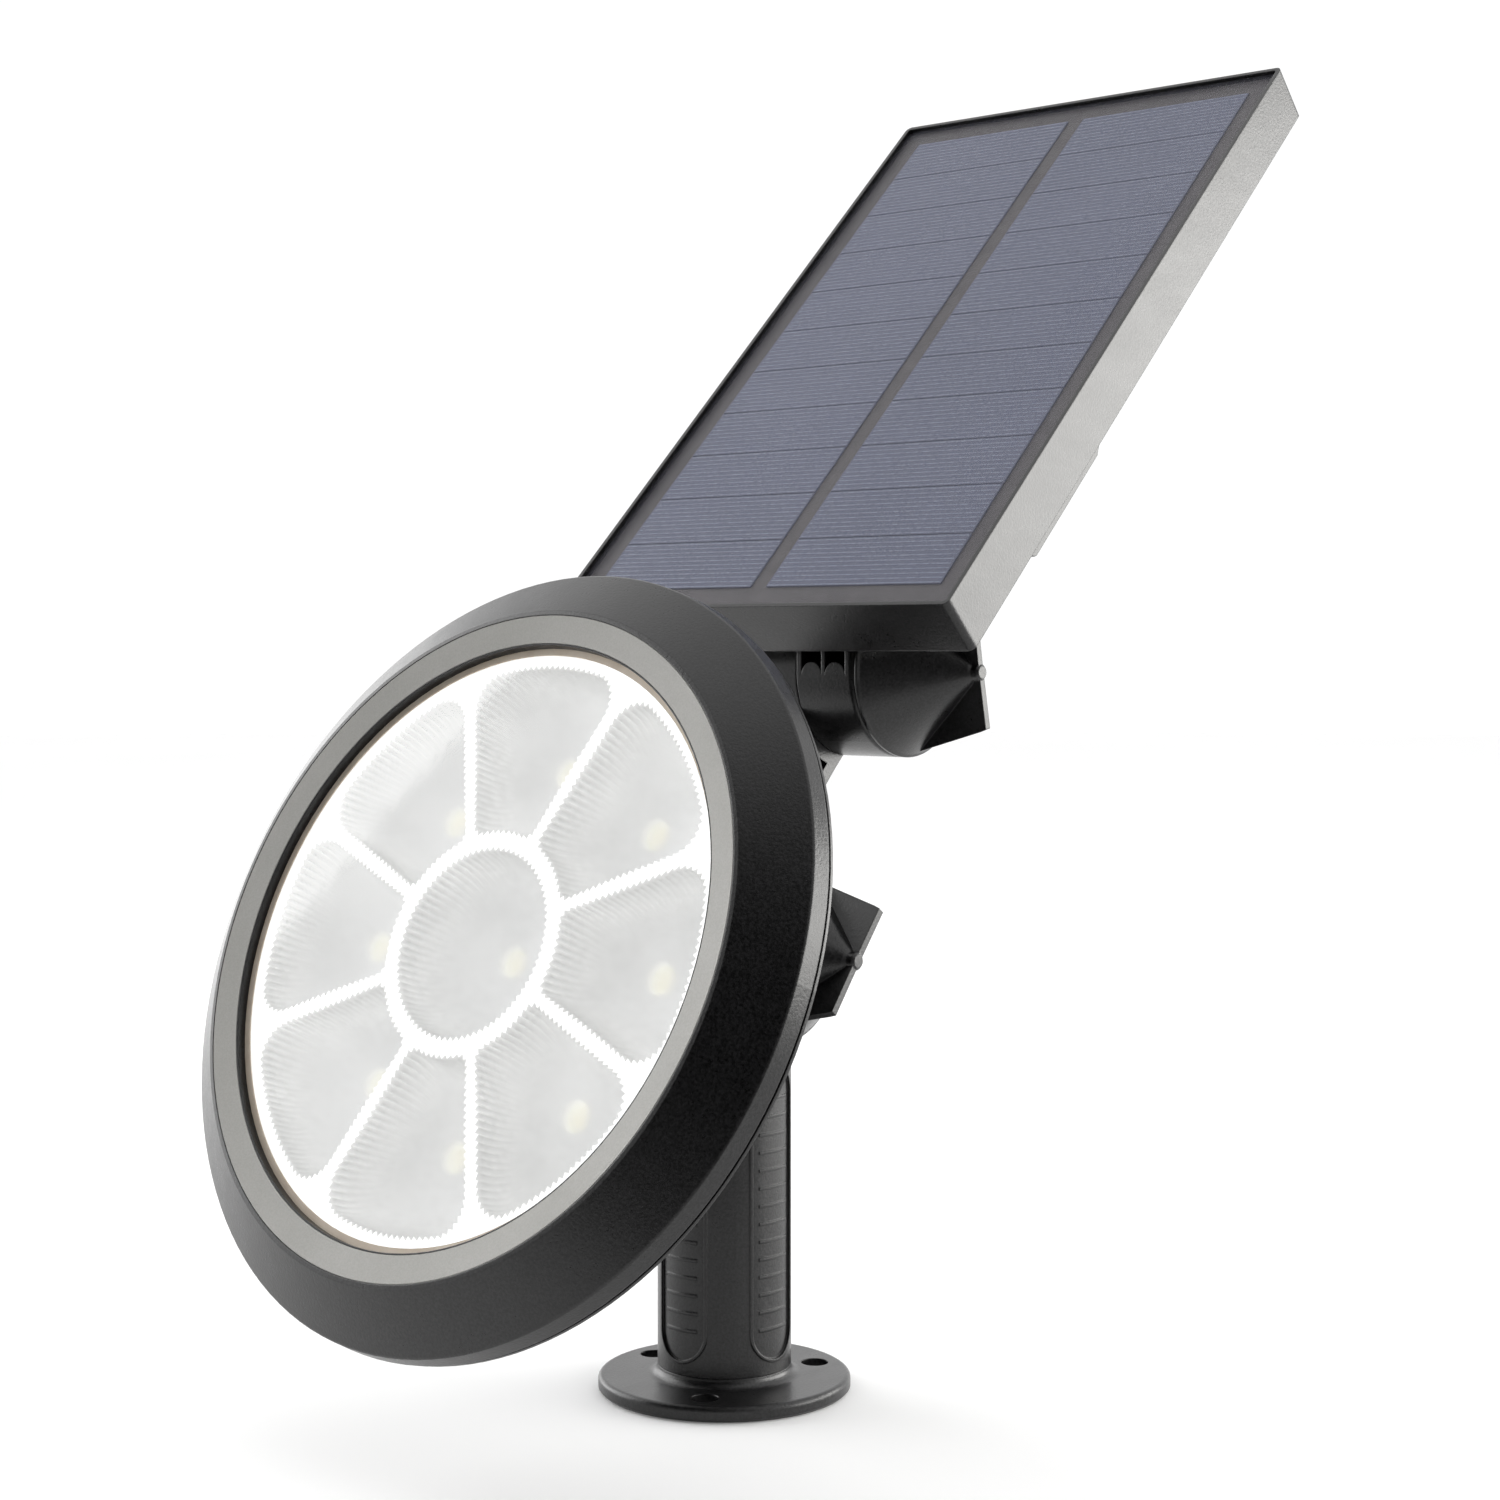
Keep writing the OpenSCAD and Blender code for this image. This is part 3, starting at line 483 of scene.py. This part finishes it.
def fluted_cell(outline, centre):
    """Rings of a bowl below an outline, its wall fluted and its floor smooth, down to the back.
    A point is x, y, z and the painted shade its flute gives it."""
    length = sum(math.dist(a, b) for a, b in pairs(outline))
    flutes = round(length / FLUTE_PITCH)
    even = evenly(outline, flutes * FLUTE_STEPS)
    rings = []
    for j in range(BOWL_RINGS + 1):
        s = j / BOWL_RINGS
        shrink = math.cos(s * math.pi / 2) ** BOWL_WIDTH_POWER
        depth = BOWL_DEPTH * math.sin(s * math.pi / 2) ** BOWL_DEPTH_POWER
        ring = []
        for i, (x, y) in enumerate(even):
            wave = (1 - math.cos(math.tau * i / FLUTE_STEPS)) / 2
            pull = FLUTE_DEPTH * wave * (1 - s) ** FLUTE_FADE_POWER
            dx, dy = x - centre[0], y - centre[1]
            reach = math.hypot(dx, dy)
            keep = (LED_HOLE_R + (reach - pull - LED_HOLE_R) * shrink) / reach
            # painted shade: deepest in the flutes near the top, fading down the bowl; none on the top ring
            shade = wave * max(0.0, 1 - SHADE_FADE * s) if j else 0.0
            ring.append((centre[0] + dx * keep, centre[1] + dy * keep, -depth, shade))
        rings.append(ring)
    rings.append([(x, y, RIB_DEPTH - REFLECTOR_BACK, 0.0) for x, y, _, _ in rings[-1]])
    return rings


def skin(bm, upper, lower, material):
    """A band of faces between two closed loops of points."""
    for (a, b), (c, d) in zip(pairs(upper), pairs(lower)):
        bm.faces.new((a, b, d, c)).material_index = material


def cap(bm, edges, material):
    """Flat faces over everything that closed loops of edges enclose."""
    filled = bmesh.ops.triangle_fill(bm, use_beauty=True, use_dissolve=False, edges=edges)
    for item in filled["geom"]:
        if isinstance(item, bmesh.types.BMFace):
            item.material_index = material


def add_bowl(bm, flute_shade, rings, angle):
    """One bowl, turned by angle about the lamp's axis. Returns its top loop and bottom loop."""
    ca, sa = math.cos(angle), math.sin(angle)
    loops = []
    for ring in rings:
        loop = []
        for x, y, z, shade in ring:
            vert = bm.verts.new((x * ca + y * sa, y * ca - x * sa, z - RIB_DEPTH))
            # stores the painted shade of the flutes
            vert[flute_shade] = shade
            loop.append(vert)
        loops.append(loop)
    for upper, lower in zip(loops, loops[1:]):
        skin(bm, upper, lower, BOWL)
    return loops[0], loops[-1]


def make_reflector():
    """White moulding: flat ribs between fluted bowls, one in the middle and a ring of eight."""
    bm = bmesh.new()
    # painted shade of each point, for the flutes in the reflector's material
    flute_shade = bm.verts.layers.float.new("flute_shade")
    rim = [bm.verts.new((x, y, -RIB_DEPTH)) for x, y in circle(REFLECTOR_R, RIM_STEPS)]
    top_loops, bottom_loops = [rim], []
    middle = (0.0, LED_R)
    sector = fluted_cell(trace(middle, sector_distance), middle)
    hub = fluted_cell(circle(HUB_R, HUB_STEPS), (0.0, 0.0))
    for rings, angle in [(hub, 0.0)] + [(sector, math.tau * k / CELLS) for k in range(CELLS)]:
        top, bottom = add_bowl(bm, flute_shade, rings, angle)
        top_loops.append(top)
        bottom_loops.append(bottom)
    back = [bm.verts.new((x, y, -REFLECTOR_BACK)) for x, y in circle(REFLECTOR_BACK_R, RIM_STEPS)]
    skin(bm, rim, back, BOWL)
    for loops, material in ((top_loops, RIB), ([back] + bottom_loops, BOWL)):
        cap(bm, [bm.edges.get(pair) or bm.edges.new(pair) for loop in loops for pair in pairs(loop)],
            material)
    bmesh.ops.transform(bm, matrix=HEAD, verts=bm.verts)
    mesh = bpy.data.meshes.new("fluted_reflector")
    bm.to_mesh(mesh)
    bm.free()
    piece = finish_piece("fluted_reflector", mesh, "lamp_head",
                         [reflector_white("reflector_face", 0.9, 1.0), MATERIALS["reflector_white"]],
                         50)
    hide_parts("reflector")


# ---- lines on the solar cells, in the panel's frame ----------------------------------
CELL_ROWS = 11
CELL_X0, CELL_X1 = 2.15 * MM, 46 * MM           # edges of the right-hand column
CELL_L0, CELL_PITCH = 7.1 * MM, 160 / CELL_ROWS * MM
CELL_TOP, CELL_T = 1.38 * MM, 0.3 * MM          # depth of the cells' top, and their thickness
CELL_GAP, ROW_GAP = 0.64 * MM, 0.28 * MM        # a hair over the gap between rows, and what stays
FINGERS = 11                                    # lines on each cell
FINGER_W, FINGER_T = 0.34 * MM, 0.03 * MM
FINGER_SINK = 0.002 * MM
FINGER_MARGIN = 0.4 * MM


def strip(verts, faces, x_range, l_range, z_range):
    """Adds one thin block to a list of points and faces. The ranges are in any order."""
    first = len(verts)
    verts += [(x, l, z) for z in sorted(z_range) for l in sorted(l_range) for x in sorted(x_range)]
    faces += [tuple(first + i for i in face) for face in
              ((0, 2, 3, 1), (4, 5, 7, 6), (0, 1, 5, 4), (2, 6, 7, 3), (0, 4, 6, 2), (1, 3, 7, 5))]


def panel_piece(name, verts, faces, material):
    """A mesh from points in the panel's frame, riding on the panel."""
    mesh = bpy.data.meshes.new(name)
    mesh.from_pydata([PANEL @ Vector(v) for v in verts], [], faces)
    finish_piece(name, mesh, "solar_panel", [material])


def make_cell_fingers():
    """Fine printed lines across both columns of cells."""
    verts, faces = [], []
    for side in (-1, 1):
        x_range = side * (CELL_X0 + FINGER_MARGIN), side * (CELL_X1 - FINGER_MARGIN)
        for line in range(CELL_ROWS * FINGERS):
            l = CELL_L0 + (line + 0.5) / FINGERS * CELL_PITCH
            strip(verts, faces, x_range, (l - FINGER_W / 2, l + FINGER_W / 2),
                  (-CELL_TOP + FINGER_SINK, -CELL_TOP + FINGER_T))
    panel_piece("cell_fingers", verts, faces, finger_silver())


def make_cell_edges():
    """Narrows the gaps between the rows of cells, at the height of the cells."""
    verts, faces = [], []
    for side in (-1, 1):
        for row in range(1, CELL_ROWS):
            middle = CELL_L0 + row * CELL_PITCH
            for way in (-1, 1):
                strip(verts, faces, (side * CELL_X0, side * CELL_X1),
                      (middle + way * ROW_GAP / 2, middle + way * CELL_GAP / 2),
                      (-CELL_TOP - CELL_T, -CELL_TOP))
    panel_piece("cell_edges", verts, faces, MATERIALS["cell_blue"])


# ---- studio --------------------------------------------------------------------------
MIDDLE = Vector((0.0, 0.0, 0.13))               # what the soft boxes face
FLOOR_R, FLOOR_Z, FLOOR_SIDES = 4.0, -0.0002, 96
FLOOR_GLOW = 0.12                               # evens out the shadows on the floor
FLOOR_DARK_WAY = toward(139, 0)                 # the camera's side of the light
FLOOR_DARK_FROM, FLOOR_DARK_TO = 0.14, 0.30     # where the dark cloth begins, in metres that way
FLOOR_DARKEST = 0.92                            # share of the floor's light that it takes
WORLD_LIGHT, WORLD_DARK, BACKDROP = 1.25, 0.03, 1.05
WORLD_DARK_WAY = toward(160, 15)
WORLD_DARK_FROM, WORLD_DARK_TO = 0.30, 0.92     # cosines of the angle to that way
CAMERA_AT = Vector((0.3442, -0.3900, 0.1497))
CAMERA_AZ = math.radians(40.86)
CAMERA_DOWN = math.radians(2.3)
CAMERA_LENS, CAMERA_SENSOR = 62.34, 36


def make_floor():
    """Plain pale floor, a wide disc under the flange. On the camera's side it lights the object
    no more than a dark cloth would, though the camera sees it pale."""
    verts = [(x, y, FLOOR_Z) for x, y in circle(FLOOR_R, FLOOR_SIDES)]
    mesh = bpy.data.meshes.new("studio_floor")
    mesh.from_pydata(verts, [], [tuple(reversed(range(FLOOR_SIDES)))])
    shade = Shader("studio_floor", Specular_IOR_Level=0.1, Emission_Color=(1.0, 1.0, 1.0),
                   Emission_Strength=FLOOR_GLOW)
    pale = shade.colours(shade.noise(3, 2), (0.88, 0.88, 0.88), (0.90, 0.90, 0.90))
    far = shade.remap(shade.along(FLOOR_DARK_WAY), 0.0, FLOOR_DARKEST, FLOOR_DARK_FROM, FLOOR_DARK_TO)
    ray = shade.tree.nodes.new("ShaderNodeLightPath")
    unseen = shade.math("SUBTRACT", 1.0, ray.outputs["Is Camera Ray"])
    shade.base(shade.blend_colours(shade.math("MULTIPLY", far, unseen), pale, (0.0, 0.0, 0.0)))
    shade.rough(shade.remap(shade.noise(8, 2), 0.7, 0.8))
    mesh.materials.append(shade.mat)
    floor = bpy.data.objects.new("studio_floor", mesh)
    bpy.context.scene.collection.objects.link(floor)


def softbox(name, azimuth, elevation, distance, size, radiance, colour=(1, 1, 1)):
    """Area light that faces the lamp. radiance is that of its surface, white being 1."""
    data = bpy.data.lights.new(name, "AREA")
    data.shape = "RECTANGLE"
    data.size, data.size_y = size
    data.color = colour
    data.energy = radiance * math.pi * size[0] * size[1]
    lamp = bpy.data.objects.new(name, data)
    lamp.location = MIDDLE + toward(azimuth, elevation) * distance
    lamp.rotation_euler = (-toward(azimuth, elevation)).to_track_quat("-Z", "Y").to_euler()
    lamp.visible_camera = False
    bpy.context.scene.collection.objects.link(lamp)


def make_camera():
    """Camera in front, to the right of the lamp, looking back at it and slightly down."""
    data = bpy.data.cameras.new("camera")
    data.lens = CAMERA_LENS
    data.sensor_width = CAMERA_SENSOR
    data.clip_start = 0.01
    camera = bpy.data.objects.new("camera", data)
    camera.location = CAMERA_AT
    camera.rotation_euler = (math.radians(90) - CAMERA_DOWN, 0, CAMERA_AZ)
    bpy.context.scene.collection.objects.link(camera)
    bpy.context.scene.camera = camera


def make_world():
    """White studio, dark on the camera's side. The camera itself sees a plain white backdrop."""
    world = bpy.data.worlds.new("studio")
    world.use_nodes = True
    tree = world.node_tree
    tree.nodes.clear()
    out = tree.nodes.new("ShaderNodeOutputWorld")
    coords = tree.nodes.new("ShaderNodeTexCoord")
    facing = tree.nodes.new("ShaderNodeVectorMath")
    facing.operation = "DOT_PRODUCT"
    facing.inputs[1].default_value = WORLD_DARK_WAY
    tree.links.new(coords.outputs["Generated"], facing.inputs[0])
    shade = tree.nodes.new("ShaderNodeMapRange")
    shade.interpolation_type = "SMOOTHSTEP"
    for key, value in (("From Min", WORLD_DARK_FROM), ("From Max", WORLD_DARK_TO),
                       ("To Min", WORLD_LIGHT), ("To Max", WORLD_DARK)):
        shade.inputs[key].default_value = value
    tree.links.new(facing.outputs["Value"], shade.inputs["Value"])
    studio = tree.nodes.new("ShaderNodeBackground")
    tree.links.new(shade.outputs["Result"], studio.inputs["Strength"])
    backdrop = tree.nodes.new("ShaderNodeBackground")
    backdrop.inputs["Strength"].default_value = BACKDROP
    ray = tree.nodes.new("ShaderNodeLightPath")
    mix = tree.nodes.new("ShaderNodeMixShader")
    for background in (studio, backdrop):
        background.inputs["Color"].default_value = (1, 1, 1, 1)
    tree.links.new(ray.outputs["Is Camera Ray"], mix.inputs[0])
    tree.links.new(studio.outputs[0], mix.inputs[1])
    tree.links.new(backdrop.outputs[0], mix.inputs[2])
    tree.links.new(mix.outputs[0], out.inputs["Surface"])
    bpy.context.scene.world = world


def make_studio():
    """World and three soft boxes: two wide ones at the left, one low at the right."""
    bpy.context.scene.view_settings.view_transform = "Standard"
    make_world()
    softbox("left_box", azimuth=-103, elevation=14, distance=1.4, size=(1.05, 1.4), radiance=2.8)
    softbox("back_box", azimuth=-78, elevation=4, distance=1.5, size=(0.9, 0.8), radiance=1.4)
    softbox("right_box", azimuth=44, elevation=-2, distance=1.1, size=(1.2, 0.8), radiance=7.2,
            colour=(1.0, 0.99, 0.96))


dress_nodes()
make_reflector()
make_cell_fingers()
make_cell_edges()
make_camera()
make_floor()
make_studio()
